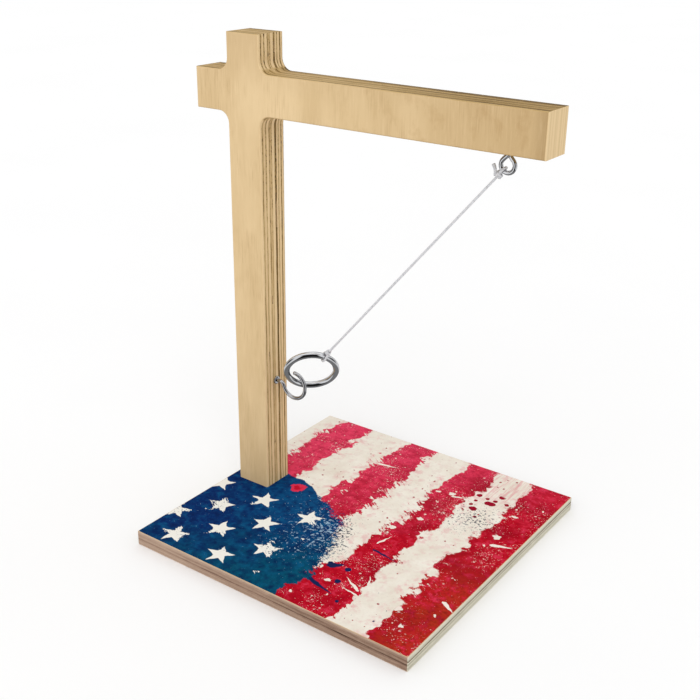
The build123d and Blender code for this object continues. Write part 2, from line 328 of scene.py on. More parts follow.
class Paint:
    """A material and a short way to write its nodes. Values passed on are sockets or plain numbers."""

    def __init__(self, name):
        self.material = bpy.data.materials.new(name)
        self.material.use_nodes = True
        self.tree = self.material.node_tree
        self.shader = self.tree.nodes["Principled BSDF"]
        coordinates = self.node("ShaderNodeTexCoord").outputs["Object"]
        self.mm = self.vector("SCALE", coordinates, scale=1 / MM)
        self.x, self.y, self.z = self.split(self.mm)

    def node(self, kind):
        return self.tree.nodes.new(kind)

    def put(self, socket, value):
        if isinstance(value, bpy.types.NodeSocket):
            self.tree.links.new(value, socket)
        else:
            socket.default_value = value

    def vector(self, operation, a, b=None, scale=None):
        node = self.node("ShaderNodeVectorMath")
        node.operation = operation
        self.put(node.inputs[0], a)
        if b is not None:
            self.put(node.inputs[1], b)
        if scale is not None:
            self.put(node.inputs["Scale"], scale)
        return node.outputs[0]

    def split(self, at):
        node = self.node("ShaderNodeSeparateXYZ")
        self.put(node.inputs[0], at)
        return node.outputs[0], node.outputs[1], node.outputs[2]

    def point(self, x, y, z=0.0):
        node = self.node("ShaderNodeCombineXYZ")
        for socket, value in zip(node.inputs, (x, y, z)):
            self.put(socket, value)
        return node.outputs[0]

    def maths(self, operation, *values):
        node = self.node("ShaderNodeMath")
        node.operation = operation
        for socket, value in zip(node.inputs, values):
            self.put(socket, value)
        return node.outputs[0]

    def add(self, a, *others):
        for b in others:
            a = self.maths("ADD", a, b)
        return a

    def sub(self, a, b):
        return self.maths("SUBTRACT", a, b)

    def times(self, a, *others):
        for b in others:
            a = self.maths("MULTIPLY", a, b)
        return a

    def most(self, a, *others):
        for b in others:
            a = self.maths("MAXIMUM", a, b)
        return a

    def less(self, a, b):
        return self.maths("LESS_THAN", a, b)

    def off(self, value, amount):
        """A noise of 0 to 1 as a push of up to half of amount each way."""
        return self.times(self.sub(value, 0.5), amount)

    def other(self, value):
        return self.sub(1.0, value)

    def between(self, value, low, high):
        """0 at low and beyond, 1 at high and beyond."""
        node = self.node("ShaderNodeMapRange")
        node.clamp = True
        self.put(node.inputs["Value"], value)
        self.put(node.inputs["From Min"], low)
        self.put(node.inputs["From Max"], high)
        return node.outputs["Result"]

    def within(self, value, low, high):
        """1 from low to high, 0 outside."""
        return self.times(self.maths("GREATER_THAN", value, low), self.less(value, high))

    def stretched(self, at, x=1.0, y=1.0, z=1.0):
        """The place squeezed along each axis, so that noise there comes out that many times longer."""
        return self.vector("MULTIPLY", at, (1 / x, 1 / y, 1 / z))

    def elsewhere(self, at, seed):
        """The place moved far away, for a noise of its own."""
        return self.vector("ADD", at, (37.0 * seed, -53.0 * seed, 11.0 * seed))

    def turned(self, at, degrees):
        node = self.node("ShaderNodeVectorRotate")
        node.rotation_type = "Z_AXIS"
        self.put(node.inputs["Vector"], at)
        node.inputs["Angle"].default_value = math.radians(degrees)
        return node.outputs[0]

    def noise_node(self, at, size, detail, rough):
        node = self.node("ShaderNodeTexNoise")
        self.put(node.inputs["Vector"], at)
        node.inputs["Scale"].default_value = 1 / size
        node.inputs["Detail"].default_value = detail
        node.inputs["Roughness"].default_value = rough
        return node

    def noise(self, at, size, detail=3.0, rough=0.55):
        """Cloudy noise from 0 to 1, with features about size mm across."""
        return self.noise_node(at, size, detail, rough).outputs["Fac"]

    def shaken(self, at, size, far, detail=3.0):
        """The place moved about, up to far mm each way, by noise with features about size mm across."""
        colour = self.noise_node(at, size, detail, 0.5).outputs["Color"]
        push = self.vector("SUBTRACT", colour, (0.5, 0.5, 0.5))
        return self.vector("ADD", at, self.vector("SCALE", push, scale=2 * far))

    def ramp(self, value, stops, how="LINEAR"):
        """stops are places and what is there: an sRGB colour, or a number."""
        node = self.node("ShaderNodeValToRGB")
        node.color_ramp.interpolation = how
        elements = node.color_ramp.elements
        while len(elements) < len(stops):
            elements.new(0.5)
        for element, (at, _) in zip(elements, stops):
            element.position = at
        for element, (_, colour) in zip(elements, stops):
            element.color = rgb(colour) if isinstance(colour, tuple) else (colour, colour, colour, 1)
        self.put(node.inputs[0], value)
        return node.outputs[0]

    def mix(self, share, a, b):
        node = self.node("ShaderNodeMix")
        for name, value in (("Factor", share), ("A", a), ("B", b)):
            self.put(node.inputs[name], value)
        return node.outputs["Result"]

    def blend(self, share, a, b):
        """From colour a to colour b."""
        node = self.node("ShaderNodeMix")
        node.data_type = "RGBA"
        self.put(node.inputs["Factor"], share)
        self.put(node.inputs["A"], a if isinstance(a, bpy.types.NodeSocket) else rgb(a))
        self.put(node.inputs["B"], b if isinstance(b, bpy.types.NodeSocket) else rgb(b))
        return node.outputs["Result"]

    def dots(self, at, size, big, how_many):
        """Round spots, one to a cell of size mm, of radius up to big mm, in that share of the cells."""
        node = self.node("ShaderNodeTexVoronoi")
        node.voronoi_dimensions = "2D"
        self.put(node.inputs["Vector"], at)
        node.inputs["Scale"].default_value = 1 / size
        draw = self.node("ShaderNodeSeparateColor")
        self.put(draw.inputs[0], node.outputs["Color"])
        radius = self.times(self.maths("POWER", draw.outputs[1], 2.0), big / size)
        return self.times(self.less(node.outputs["Distance"], radius), self.less(draw.outputs[0], how_many))

    def facing(self):
        """How squarely the surface looks along X, along Y and along Z, either way."""
        normal = self.node("ShaderNodeNewGeometry").outputs["Normal"]
        return [self.maths("ABSOLUTE", part) for part in self.split(normal)]

    def bump(self, height, deep):
        """deep is how far, in mm, a height of 1 stands above 0."""
        node = self.node("ShaderNodeBump")
        self.put(node.inputs["Height"], height)
        node.inputs["Distance"].default_value = deep * MM
        self.put(self.shader.inputs["Normal"], node.outputs[0])

    def done(self, colour, rough, metallic=0.0, gloss=0.5):
        self.put(self.shader.inputs["Base Color"], colour)
        self.put(self.shader.inputs["Roughness"], rough)
        self.shader.inputs["Metallic"].default_value = metallic
        self.shader.inputs["Specular IOR Level"].default_value = gloss
        return self.material


# ---------------------------------------------------------------- materials


def metal(name, colour, rough, scratch):
    p = Paint(name)
    cloud = p.noise(p.mm, 6.0)
    fine = p.noise(p.mm, 0.25, 2)
    colour_here = p.blend(p.between(cloud, 0.3, 0.7), [c * 0.95 for c in colour], colour)
    rough_here = p.add(rough, p.times(p.between(cloud, 0.35, 0.75), rough * 0.6))
    p.bump(fine, scratch)
    return p.done(colour_here, rough_here, metallic=1.0)


def cord_material():
    p = Paint("cord_braid")
    cloud = p.noise(p.mm, 2.2)
    fine = p.noise(p.mm, 0.12, 2)
    colour = p.blend(p.between(cloud, 0.3, 0.7), (204, 205, 208), (230, 230, 232))
    colour = p.blend(p.times(p.between(fine, 0.3, 0.8), 0.25), colour, (176, 178, 184))
    p.bump(fine, 0.02)
    p.shader.inputs["Sheen Weight"].default_value = 0.15
    return p.done(colour, p.between(fine, -0.6, 1.4))


def floor_material():
    p = Paint("floor_paper")
    cloud = p.noise(p.mm, 300.0, 2)
    return p.done(p.blend(cloud, (253, 253, 253), (250, 250, 250)), p.between(cloud, -3.0, 1.5), gloss=0.0)


# Where each ply's edge starts, in mm from the front face, and how dark it is: on cuts that look along X,
# where every second ply shows its end grain, and on cuts that look up or down
POST_SIDE_PLIES = (
    (0.0, 0.04), (2.3, 0.72), (3.6, 0.34), (4.7, 0.12), (5.8, 0.62), (7.3, 0.05), (9.6, 0.42), (10.3, 0.80),
    (11.3, 0.40), (12.4, 0.58), (13.6, 0.03), (16.5, 1.00), (18.6, 0.08), (20.3, 0.62), (21.4, 0.12),
    (23.6, 0.88), (24.9, 0.03), (26.4, 0.50), (27.3, 0.22),
)
POST_LEVEL_PLIES = (
    (0.0, 0.35), (1.2, 0.95), (2.8, 0.60), (5.8, 0.44), (7.3, 0.74), (9.6, 0.50), (13.6, 0.80), (16.5, 0.52),
    (20.3, 0.58), (21.4, 0.92), (23.6, 0.62), (24.9, 1.20), (26.4, 0.90),
)
PLY_SHADES = (
    (0.0, (229, 201, 155)), (0.22, (214, 185, 138)), (0.45, (188, 158, 106)), (0.70, (141, 111, 56)),
    (1.0, (76, 53, 16)),
)
# The colour painted inside the gaps in the inner plies, as the shade in them
GAP_PAINTED_SHADE = (38, 26, 8)
# The face veneer: pale and deeper clouds, what it turns to at its top and foot, where it is smudged or
# streaked, and its painted shade towards the arm's end and just before the end corner
FACE_PALE = (227, 199, 154)
FACE_DEEP = (213, 184, 138)
FACE_TOP = (198, 168, 126)
FACE_FOOT = (198, 168, 124)
FACE_ARM_SHADE = (194, 164, 118)
FACE_SMUDGE = (180, 146, 98)
FACE_CORNER_SHADE = (172, 142, 98)
FACE_STREAK = (176, 142, 98)
FACE_SHEEN = (238, 213, 170)
# In mm: how far the gaps in the inner plies, which the CAD part has, reach into the post's edge and the arm,
# and how deep the arm is from its top to its underside
GAP_DEEP = 1.7
ARM_DEEP = 30.0

# The board's, in mm from its underside
BOARD_FRONT_PLIES = (
    (0.0, 0.18), (0.9, 0.50), (2.6, 0.42), (3.9, 0.56), (5.1, 0.95), (6.2, 0.50), (7.7, 0.62), (9.2, 0.46),
    (10.7, 0.22),
)
BOARD_SIDE_PLIES = (
    (0.0, 0.04), (1.3, 0.34), (3.0, 0.18), (4.9, 0.58), (6.0, 0.24), (7.3, 1.05), (8.3, 0.34), (9.4, 0.16),
    (10.8, 0.02),
)
BOARD_FRONT_SHADES = (
    (0.0, (200, 175, 154)), (0.3, (168, 141, 122)), (0.55, (138, 110, 92)), (0.8, (100, 74, 60)),
    (1.0, (54, 38, 30)),
)
BOARD_SIDE_SHADES = (
    (0.0, (222, 215, 198)), (0.3, (188, 184, 164)), (0.6, (142, 128, 104)), (1.0, (84, 64, 46)),
)
UNDERSIDE_PALE = (226, 204, 168)
UNDERSIDE_DEEP = (204, 176, 136)
UNDERSIDE_STREAK = (178, 146, 104)
# Small dark knots open in the front edge's middle ply, between these heights
KNOTS_LOW = 4.6
KNOTS_HIGH = 6.6


def ply_darkness(p, level, thick, plies, drift, fibre):
    """How dark a cut edge is at a level across the plies: patchy along each ply, streaked by its fibres."""
    stops = [(start / thick, shade) for start, shade in plies]
    dark = p.ramp(p.between(level, 0.0, thick), stops, "CONSTANT")
    return p.add(p.times(dark, p.between(drift, -0.25, 0.75)), p.off(fibre, 0.55))


def post_plywood():
    """Thick plywood, its plies one on another along Y, with the face veneer's grain along Z."""
    p = Paint("post_plywood")
    along_x, along_y, along_z = p.facing()
    thick = POST_THICK / MM
    end = ARM_END / MM
    wavy = p.noise(p.stretched(p.mm, x=3.0, z=5.0), 5.0, 2)
    level = p.add(p.y, thick / 2, p.off(wavy, 1.3))
    drift = p.noise(p.stretched(p.mm, x=16.0, z=16.0), 2.4, 3, 0.6)
    fibre = p.noise(p.stretched(p.mm, x=9.0, z=9.0), 0.75, 3, 0.6)
    grit = p.noise(p.mm, 0.6, 3, 0.7)
    side = ply_darkness(p, level, thick, POST_SIDE_PLIES, drift, fibre)
    long_drift = p.noise(p.stretched(p.mm, x=30.0), 2.4, 3, 0.6)
    long_fibre = p.noise(p.stretched(p.mm, x=26.0), 0.75, 3, 0.6)
    flat = ply_darkness(p, level, thick, POST_LEVEL_PLIES, long_drift, long_fibre)
    # Painted light: the cuts that look along X are painted lighter towards the arm's end
    painted_end_light = p.between(p.x, end - 20.0, end - 4.0)
    side = p.times(side, p.mix(painted_end_light, 1.0, 0.30))
    # Near the arm the darker plies of the post's edge are rougher, with small black holes.
    crumb = p.between(p.noise(p.stretched(p.mm, z=2.0), 1.1, 3, 0.7), 0.54, 0.62)
    crumb = p.times(crumb, p.between(side, 0.25, 0.5), p.between(p.z, 180.0, 300.0))
    side = p.add(side, p.times(crumb, 0.7))
    # Painted shade: cuts that look up or down are darker overall, and the arm's top darker towards its end
    flat = p.add(flat, 0.04, p.times(p.between(p.x, -20.0, 90.0), 0.16))
    to_z = p.between(p.sub(along_z, along_x), -0.2, 0.2)
    dark = p.mix(to_z, side, flat)
    dark = p.add(dark, p.times(p.off(grit, 0.9), p.between(dark, 0.15, 0.8)))
    edge = p.ramp(dark, PLY_SHADES)

    inner = p.less(p.maths("ABSOLUTE", p.y), thick / 2 - 1.0)
    right = POST_RIGHT / MM
    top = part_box("post_arm")[1].z / MM
    under = ARM_UNDER / MM
    in_post = p.times(p.within(p.x, right - GAP_DEEP, right - 0.1), p.within(p.z, 20.0, top - 4.0))
    near_under = p.within(p.z, under + 0.1, under + GAP_DEEP)
    near_top = p.within(p.z, under + ARM_DEEP - GAP_DEEP, under + ARM_DEEP - 0.1)
    deep_in_arm = p.most(near_under, near_top)
    in_arm = p.times(deep_in_arm, p.within(p.x, right + 12.0, end - 4.0))
    gap = p.times(inner, p.most(in_post, in_arm))
    # Painted shade inside the gaps of the inner plies
    edge = p.blend(p.times(gap, 0.85), edge, GAP_PAINTED_SHADE)

    # The face veneer: soft clouds, with fine streaks up the grain that come and go. It is duller at the top
    # and the foot, with painted shade towards the arm's end, deeper just before the end corner
    cloud = p.noise(p.stretched(p.mm, z=3.0), 20.0, 3)
    streak = p.noise(p.stretched(p.mm, z=20.0), 0.8, 3, 0.6)
    patch = p.between(p.noise(p.elsewhere(p.mm, 2), 26.0, 2), 0.42, 0.66)
    face = p.blend(p.between(cloud, 0.32, 0.68), FACE_PALE, FACE_DEEP)
    face = p.blend(p.times(p.between(p.z, 335.0, 375.0), 0.45), face, FACE_TOP)
    # Painted shade: the face darkens towards the arm's end
    face = p.blend(p.times(p.between(p.x, -10.0, 140.0), 0.85), face, FACE_ARM_SHADE)
    smudge = p.between(p.noise(p.elsewhere(p.stretched(p.mm, z=1.6), 3), 11.0, 4, 0.6), 0.52, 0.66)
    face = p.blend(p.times(smudge, p.between(p.x, -70.0, 60.0), 0.4), face, FACE_SMUDGE)
    face = p.blend(p.times(p.between(p.z, 150.0, 10.0), 0.35), face, FACE_FOOT)
    # Painted shade: the face is darker just before the arm's end corner
    face = p.blend(p.times(p.between(p.x, end - 11.0, end - 1.0), 0.7), face, FACE_CORNER_SHADE)
    face = p.blend(p.times(p.between(streak, 0.48, 0.78), patch, 0.55), face, FACE_STREAK)
    face = p.blend(p.times(p.between(streak, 0.45, 0.2), 0.25), face, FACE_SHEEN)
    on_face = p.between(along_y, 0.72, 0.95)
    colour = p.blend(on_face, edge, face)
    height = p.mix(on_face, p.sub(p.times(grit, 0.5), dark), p.times(streak, 0.3))
    p.bump(height, 0.12)
    return p.done(colour, p.between(streak, -1.2, 1.6), gloss=0.2)


def board_plywood():
    """Thin plywood, its plies one on another along Z."""
    p = Paint("board_plywood")
    along_x, _, along_z = p.facing()
    thick = BOARD_THICK / MM
    wavy = p.noise(p.stretched(p.mm, x=6.0, y=6.0), 4.0, 2)
    level = p.add(p.z, p.off(wavy, 0.8))
    drift = p.noise(p.stretched(p.mm, x=14.0, y=14.0), 2.0, 3, 0.6)
    fibre = p.noise(p.stretched(p.mm, x=12.0, y=12.0), 0.7, 3, 0.6)
    grit = p.noise(p.mm, 0.7, 3, 0.7)
    front = ply_darkness(p, level, thick, BOARD_FRONT_PLIES, drift, fibre)
    knot = p.noise(p.stretched(p.mm, x=5.0, y=5.0), 1.8, 3, 0.6)
    knot = p.times(p.between(knot, 0.62, 0.68), p.within(level, KNOTS_LOW, KNOTS_HIGH))
    # The front edge is darker and has more knots towards its right end
    rightward = p.between(p.x, -110.0, 60.0)
    front = p.times(p.most(front, p.times(knot, rightward)), p.mix(rightward, 0.62, 1.08))
    front = p.add(front, p.off(grit, 0.25), p.times(rightward, 0.06))
    side = p.add(ply_darkness(p, level, thick, BOARD_SIDE_PLIES, drift, fibre), p.off(grit, 0.2))
    to_x = p.between(along_x, 0.4, 0.6)
    edge = p.blend(to_x, p.ramp(front, BOARD_FRONT_SHADES), p.ramp(side, BOARD_SIDE_SHADES))
    figure = p.noise(p.stretched(p.mm, x=10.0), 6.0, 4, 0.6)
    face = p.blend(p.between(figure, 0.3, 0.7), UNDERSIDE_PALE, UNDERSIDE_DEEP)
    streak = p.noise(p.stretched(p.mm, x=24.0), 0.9, 3, 0.6)
    face = p.blend(p.times(p.between(streak, 0.5, 0.8), 0.4), face, UNDERSIDE_STREAK)
    on_face = p.between(along_z, 0.75, 0.95)
    p.bump(p.mix(on_face, p.sub(p.times(grit, 0.6), p.mix(to_x, front, side)), p.times(streak, 0.3)), 0.1)
    return p.done(p.blend(on_face, edge, face), p.between(grit, -1.5, 1.5), gloss=0.2)


# The print: stripes run along Y, cream first from the left. Where each gives way to the next along X, in mm
STRIPE_EDGES = (-108.0, -77.0, -38.0, -3.0, 28.0, 57.0, 91.0)
STRIPE_REACH = 14.0
# The starry corner's right edge and its back edge
CORNER_RIGHT = 15.0
CORNER_BACK = 15.0
CREAM = (240, 234, 222)
INK = (18, 30, 58)
STAR_WHITE = (238, 235, 226)
BERRY_RED = (150, 6, 38)
STROKE_BLUE = (22, 34, 78)
MIST_BLUE = (168, 196, 216)
# Places on the print, as x, y and how far each reaches: where the corner breaks up into dust, where the
# cream is brushed dry, where the blue is lighter, where dark specks gather, the berries and the round dab
DUST_AT = (-6.0, -38.0, 66.0)
DRY_AT = (76.0, 112.0, 60.0)
LIGHTER_AT = (-48.0, -14.0, 70.0)
SPECKS_AT = ((12.0, 62.0, 50.0), (78.0, 46.0, 56.0))
BERRIES_AT = (75.0, 70.0, 34.0)
DAB_AT = (-66.0, 1.0, 12.0)
# Two grids of stars fill each other's gaps: their spacing, and where one star of each stands
STAR_EVERY_X = 46.5
STAR_EVERY_Y = 53.0
STARS_AT = ((-122.0, -31.0), (-98.75, -57.5))
STAR_OUT = 12.0
STAR_IN = 5.0
# No star beyond these
STARS_RIGHT = -14.0
STARS_BACK = -17.0
# Dabs of the brush: where each starts, the angle it runs at in degrees, its length and its width
INKY_STROKES = (
    (12.0, -92.0, -14.0, 34.0, 1.9), (20.0, -74.0, 38.0, 15.0, 2.8), (36.0, -36.0, -10.0, 26.0, 0.8),
)
CREAM_STROKES = (
    (58.0, -86.0, 152.0, 20.0, 1.2), (62.0, -80.0, 118.0, 17.0, 1.0), (66.0, -92.0, 170.0, 24.0, 0.8),
    (-34.0, 34.0, 155.0, 20.0, 1.8), (-42.0, 74.0, 10.0, 26.0, 1.4), (34.0, -28.0, 75.0, 16.0, 0.9),
    (44.0, 66.0, 20.0, 14.0, 0.9), (104.0, 22.0, 20.0, 18.0, 1.6), (112.0, -60.0, -30.0, 16.0, 1.5),
)


def star_shape(p, u, v):
    """1 inside a five-pointed star at the origin of u and v, with a point towards -u."""
    part = math.pi / 5
    angle = p.maths("PINGPONG", p.maths("ARCTAN2", v, p.times(u, -1.0)), part)
    far = p.maths("SQRT", p.add(p.times(u, u), p.times(v, v)))
    to_tip = p.times(p.maths("SINE", angle), STAR_OUT)
    to_notch = p.times(p.maths("SINE", p.sub(part, angle)), STAR_IN)
    rim = p.maths("DIVIDE", STAR_OUT * STAR_IN * math.sin(part), p.add(to_tip, to_notch))
    return p.between(p.sub(rim, far), -0.25, 0.25)


def near(p, at, x, y, reach):
    """1 at a place, falling to 0 at reach mm from it."""
    away = p.vector("SUBTRACT", at, (x, y, 0.0))
    u, v, _ = p.split(away)
    return p.between(p.maths("SQRT", p.add(p.times(u, u), p.times(v, v))), reach, 0.0)


def brush_stroke(p, at, x, y, degrees, long, wide):
    """1 on a short dab of paint that starts at a place and runs one way."""
    u, v, _ = p.split(p.turned(p.vector("SUBTRACT", at, (x, y, 0.0)), -degrees))
    taper = p.times(p.between(u, 0.0, wide), p.between(u, long, long * 0.4))
    return p.less(p.maths("ABSOLUTE", v), p.times(taper, wide))


def printed_sheet():
    """Worn paint in stars and stripes, brushed on and spattered."""
    p = Paint("printed_sheet")
    flat = p.point(p.x, p.y)
    moved = p.shaken(p.shaken(flat, 60.0, 13.0), 15.0, 6.0)
    x, y, _ = p.split(moved)
    bristle = p.noise(p.stretched(p.turned(flat, 32.0), x=6.0), 2.4, 3, 0.6)
    torn = p.between(p.noise(p.elsewhere(flat, 1), 26.0, 1), 0.50, 0.64)
    crumb = p.noise(p.elsewhere(flat, 2), 2.2, 5, 0.75)
    lump = p.noise(p.elsewhere(flat, 16), 10.0, 3, 0.5)
    crumbly = p.times(p.off(crumb, 0.8), p.add(p.times(torn, 0.8), 0.2))
    lumpy = p.times(p.off(lump, 1.4), p.add(p.times(torn, 0.6), 0.4))
    ragged = p.add(p.times(p.off(bristle, 1.2), torn), crumbly, lumpy)

    # 0 in the middle of a cream stripe, 1 in the middle of a red one. Red closes the stripe beside the corner
    half = BOARD_HALF / MM
    stops = []
    for i, edge in enumerate(STRIPE_EDGES):
        stops += [((edge - STRIPE_REACH + half) / (2 * half), float(i % 2))]
        stops += [((edge + STRIPE_REACH + half) / (2 * half), float((i + 1) % 2))]
    stripe = p.ramp(p.between(x, -half, half), stops)
    stripe = p.add(stripe, p.times(p.between(y, -62.0, -92.0), p.between(x, 60.0, 46.0)))
    in_red = p.add(stripe, ragged, -0.5)
    red_here = p.between(in_red, -0.02, 0.02)

    # The starry corner: above 0 inside, and 1 about 20 mm in. Beyond its far corner it breaks up into dust
    right = p.sub(CORNER_RIGHT, p.add(x, p.times(p.most(p.add(y, 60.0), 0.0), 0.45)))
    back = p.sub(CORNER_BACK, p.add(y, p.times(p.most(p.add(x, 71.0), 0.0), 0.5)))
    inside = p.times(p.maths("MINIMUM", right, back), 0.05)
    dusty = near(p, flat, *DUST_AT)
    corner = p.add(inside, p.times(ragged, 0.8), p.times(p.off(crumb, 2.8), dusty))
    corner_here = p.between(corner, -0.02, 0.02)

    cloud = p.noise(flat, 24.0, 4, 0.6)
    wash = p.noise(p.elsewhere(flat, 3), 8.0, 5, 0.7)
    mottle = p.noise(p.elsewhere(flat, 4), 2.4, 4, 0.7)
    brushed = p.noise(p.stretched(p.elsewhere(flat, 17), y=16.0), 1.4, 3, 0.6)

    cream = p.blend(p.between(cloud, 0.35, 0.65), CREAM, (229, 220, 205))
    cream = p.blend(p.times(p.between(wash, 0.5, 0.7), 0.3), cream, (212, 204, 190))
    cream = p.blend(p.times(p.between(mottle, 0.5, 0.8), 0.22), cream, (196, 186, 172))
    blush = p.times(p.between(in_red, -0.6, -0.05), p.between(wash, 0.5, 0.62))
    cream = p.blend(p.times(blush, 0.45), cream, (226, 128, 142))
    dry = p.times(p.between(brushed, 0.48, 0.6), p.between(near(p, flat, *DRY_AT), 0.2, 0.7))
    cream = p.blend(p.times(dry, 0.55), cream, (218, 128, 138))

    pinker = p.between(p.add(p.times(y, 0.5), p.times(x, -0.6), p.off(cloud, 110.0)), -35.0, 75.0)
    red = p.blend(pinker, (188, 4, 30), (222, 60, 94))
    red = p.blend(p.times(p.between(wash, 0.46, 0.66), 0.55), red, (152, 2, 30))
    red = p.blend(p.times(p.between(wash, 0.50, 0.34), 0.5), red, (232, 70, 104))
    red = p.blend(p.times(p.between(mottle, 0.52, 0.72), 0.5), red, (122, 0, 22))
    red = p.blend(p.times(p.between(mottle, 0.46, 0.28), 0.3), red, (230, 62, 84))
    deep = p.between(p.noise(p.elsewhere(flat, 18), 34.0, 4, 0.6), 0.46, 0.62)
    red = p.blend(p.times(deep, p.between(p.x, -60.0, 60.0), 0.6), red, (136, 0, 22))
    rust = p.times(p.between(p.add(p.x, p.off(cloud, 110.0)), 72.0, 112.0), p.between(p.y, 10.0, -60.0))
    red = p.blend(p.times(rust, p.between(wash, 0.38, 0.56), 0.65), red, (180, 54, 26))
    red = p.blend(p.times(rust, p.between(mottle, 0.50, 0.66), 0.6), red, (112, 24, 10))

    teal = p.between(p.add(p.times(p.x, 0.5), p.times(p.y, -0.7), p.off(cloud, 110.0)), 5.0, 75.0)
    blue = p.blend(teal, (2, 42, 98), (0, 74, 100))
    blue = p.blend(p.times(near(p, flat, *LIGHTER_AT), 0.8), blue, (8, 78, 124))
    blue = p.blend(p.times(p.between(wash, 0.47, 0.64), 0.75), blue, (1, 24, 72))
    blue = p.blend(p.times(p.between(wash, 0.48, 0.34), 0.6), blue, (6, 88, 132))
    blue = p.blend(p.times(p.between(mottle, 0.46, 0.28), 0.2), blue, (24, 96, 146))

    # Spatter: fine pale specks in the red, dark ones in the cream, and drops here and there
    loose = p.shaken(flat, 2.4, 0.9)
    drift = p.between(p.noise(p.elsewhere(flat, 5), 24.0, 3), 0.44, 0.60)
    fine = p.noise(p.elsewhere(flat, 6), 0.95, 2, 0.6)
    splashed = p.shaken(flat, 4.0, 2.6)
    pale = p.less(p.add(0.73, p.times(drift, -0.08)), fine)
    pale = p.most(pale, p.times(p.dots(loose, 4.2, 0.9, 0.4), drift))
    pale = p.most(pale, p.dots(p.elsewhere(splashed, 7), 12.0, 3.4, 0.3))
    by_corner = p.between(p.maths("ABSOLUTE", p.add(inside, 0.3)), 1.0, 0.2)
    by_corner = p.times(by_corner, p.add(p.times(dusty, 1.1), 0.2))
    by_middle, by_berries = (near(p, flat, *place) for place in SPECKS_AT)
    fringe = p.most(by_corner, p.times(by_middle, 0.5), p.times(by_berries, 1.1))
    soot = p.less(p.sub(0.74, p.times(fringe, 0.19)), p.noise(p.elsewhere(flat, 10), 2.2, 4, 0.75))
    berry = p.times(p.dots(loose, 7.5, 3.4, 0.9), p.between(near(p, flat, *BERRIES_AT), 0.35, 0.4))
    berry = p.most(berry, p.dots(p.elsewhere(loose, 11), 8.0, 1.0, 0.6))

    def strokes(dabs, at):
        """1 on any of these dabs."""
        share = 0.0
        for x0, y0, degrees, long, wide in dabs:
            share = p.most(brush_stroke(p, at, x0, y0, degrees, long, wide), share)
        return share

    inky = strokes(INKY_STROKES, p.shaken(flat, 6.0, 1.8))
    inky_drops = p.dots(p.elsewhere(loose, 12), 16.0, 2.8, 0.25)
    inky = p.most(inky, p.times(inky_drops, p.between(p.y, -60.0, -62.0)))
    creamy = strokes(CREAM_STROKES, p.shaken(flat, 4.0, 1.3))

    stripes = p.blend(red_here, cream, red)
    stripes = p.blend(p.times(pale, red_here, 0.9), stripes, CREAM)
    stripes = p.blend(p.times(creamy, red_here, 0.95), stripes, CREAM)
    not_red = p.other(red_here)
    stripes = p.blend(p.times(berry, not_red), stripes, BERRY_RED)
    stripes = p.blend(p.times(soot, not_red), stripes, INK)
    stripes = p.blend(p.times(inky, p.between(p.x, 2.0, 4.0)), stripes, STROKE_BLUE)

    # Stars, some clean and some dragged out by the brush
    dragged = p.between(p.noise(p.elsewhere(flat, 13), 30.0, 1), 0.50, 0.62)
    pull = p.times(p.off(bristle, 17.0), dragged)
    u_star, v_star, _ = p.split(p.shaken(flat, 7.0, 2.0))
    star = 0.0
    for start_x, start_y in STARS_AT:
        u = p.sub(p.add(u_star, pull), start_x)
        v = p.sub(p.add(v_star, p.times(pull, 0.5)), start_y)
        u = p.maths("WRAP", u, STAR_EVERY_X / 2, -STAR_EVERY_X / 2)
        v = p.maths("WRAP", v, STAR_EVERY_Y / 2, -STAR_EVERY_Y / 2)
        star = p.most(star_shape(p, u, v), star)
    chipped = p.times(p.less(0.60, p.noise(p.elsewhere(flat, 14), 1.6, 3, 0.7)), dragged)
    star = p.times(star, p.other(chipped), p.less(p.x, STARS_RIGHT), p.less(p.y, STARS_BACK))
    mist = p.less(p.sub(0.71, p.times(dusty, 0.17)), p.noise(p.elsewhere(flat, 15), 2.3, 3, 0.75))
    starry = p.blend(p.times(mist, 0.75), blue, MIST_BLUE)
    starry = p.blend(star, starry, STAR_WHITE)
    dab = p.times(near(p, p.shaken(p.shaken(flat, 9.0, 4.0), 2.0, 1.6), *DAB_AT), 2.0)
    starry = p.blend(p.between(dab, 0.9, 1.0), starry, (218, 44, 76))
    starry = p.blend(p.between(dab, 1.35, 1.6), starry, (188, 10, 40))
    p.bump(mottle, 0.02)
    return p.done(p.blend(corner_here, stripes, starry), p.between(mottle, -0.6, 1.6), gloss=0.02)


# ---------------------------------------------------------------- cord

STRANDS = 4
STRAND_LAY = 8.0 * MM
STRAND_WIDE = 0.46 * MM
STRAND_THICK = 0.14 * MM
WEAVE = 0.07 * MM
CORE_SUNK = 0.20 * MM
CORD_STEP = 0.28 * MM
# Over how much of a cut end the cord is melted round, or has fluffed out
MELTED = 0.8 * MM
FRAYED = 6.0 * MM


